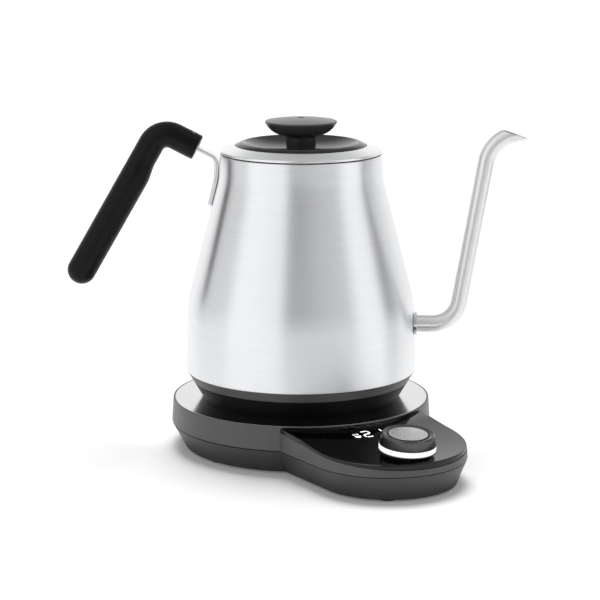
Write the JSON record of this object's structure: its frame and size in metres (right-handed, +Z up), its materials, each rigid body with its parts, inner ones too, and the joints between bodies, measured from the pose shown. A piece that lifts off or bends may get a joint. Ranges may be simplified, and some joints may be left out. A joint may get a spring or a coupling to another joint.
{
  "type": "electric kettle",
  "caption": "Brushed steel gooseneck pour-over kettle with a lift-off lid and side grip, standing on a powered base with a dial and display lobe.",
  "frame": {"origin": "under the middle of the object's box, on the table the feet stand on", "axes": "+X along the spout as the kettle stands in the picture, +Z up, -Y towards the person who reads the control panel"},
  "size_m": [0.2848, 0.2106, 0.2042],
  "materials": {
    "charcoal_shell": "satin charcoal moulding",
    "gloss_black": "polished black",
    "knob_grey": "satin grey",
    "foot_rubber": "matt",
    "light": "glowing white diffuser",
    "display": "dark display window block",
    "board": "green circuit board",
    "lead": "black sheathed lead",
    "fasteners": "plain steel",
    "black_moulding": "black moulding",
    "contact_brass": "bare brass",
    "cap_metal": "brushed",
    "brushed_steel": "fine grain round the axis",
    "polished_steel": "polished",
    "element_steel": "plain sheath",
    "spreader": "plain plate",
    "gasket": "black gasket",
    "grip": "soft-touch black"
  },
  "bodies": {
    "base": {"base_upper_shell": "charcoal_shell", "base_lower_shell": "charcoal_shell", "base_feet": "foot_rubber", "base_top_plate": "gloss_black", "control_panel": "gloss_black", "light_ring": "light", "display_module": "display", "control_board": "board", "board_screws": "fasteners", "power_board": "board", "power_board_screws": "fasteners", "board_lead": "lead", "case_screws": "fasteners", "cord_gland": "black_moulding", "base_socket": "black_moulding", "socket_contacts": "contact_brass", "encoder_body": "black_moulding"},
    "plug_core": {"plug_core": "contact_brass"},
    "kettle": {"kettle_plug": "black_moulding", "plug_contacts": "contact_brass", "plug_screws": "fasteners", "body_shell": "brushed_steel", "floor_pan": "polished_steel", "heat_spreader": "spreader", "heating_element": "element_steel", "temperature_probe": "element_steel", "thermal_cutout": "element_steel", "foot_studs": "fasteners", "foot_screws": "fasteners", "skirt_ring": "charcoal_shell", "skirt_foot": "gloss_black", "spout_tube": "polished_steel", "spout_flange": "polished_steel", "collar_gasket": "gasket", "mouth_collar": "brushed_steel", "handle_bracket": "polished_steel", "handle_grip": "grip", "grip_screw": "fasteners"},
    "lid": {"lid_dish": "gloss_black", "lid_plug": "polished_steel", "lid_seal": "gasket", "lid_knob": "knob_grey", "lid_screw": "fasteners"},
    "encoder_rotor": {"encoder_rotor": "black_moulding"},
    "dial": {"encoder_shaft": "cap_metal", "dial_knob": "charcoal_shell", "dial_cap": "cap_metal"}
  },
  "joints": [
    {"name": "kettle_lift", "type": "slide", "parent": "base", "child": "plug_core", "axis": [0, 0, 1], "range_m": [0, 0.12]},
    {"name": "kettle_turn", "type": "hinge", "parent": "plug_core", "child": "kettle", "pos_m": [0.00379, 0.02493, 0.039], "axis": [0, 0, 1], "continuous": true},
    {"name": "lid_lift", "type": "slide", "parent": "kettle", "child": "lid", "axis": [0, 0, 1], "range_m": [0, 0.05]},
    {"name": "dial_turn", "type": "hinge", "parent": "base", "child": "encoder_rotor", "pos_m": [0.07418, -0.07426, 0.02502], "axis": [0.0537, -0.0687, 0.9962], "continuous": true},
    {"name": "dial_press", "type": "slide", "parent": "encoder_rotor", "child": "dial", "axis": [-0.0537, 0.0687, -0.9962], "range_m": [0, 0.001], "stiffness_N_per_m": 1000, "springref_m": -0.002}
  ]
}
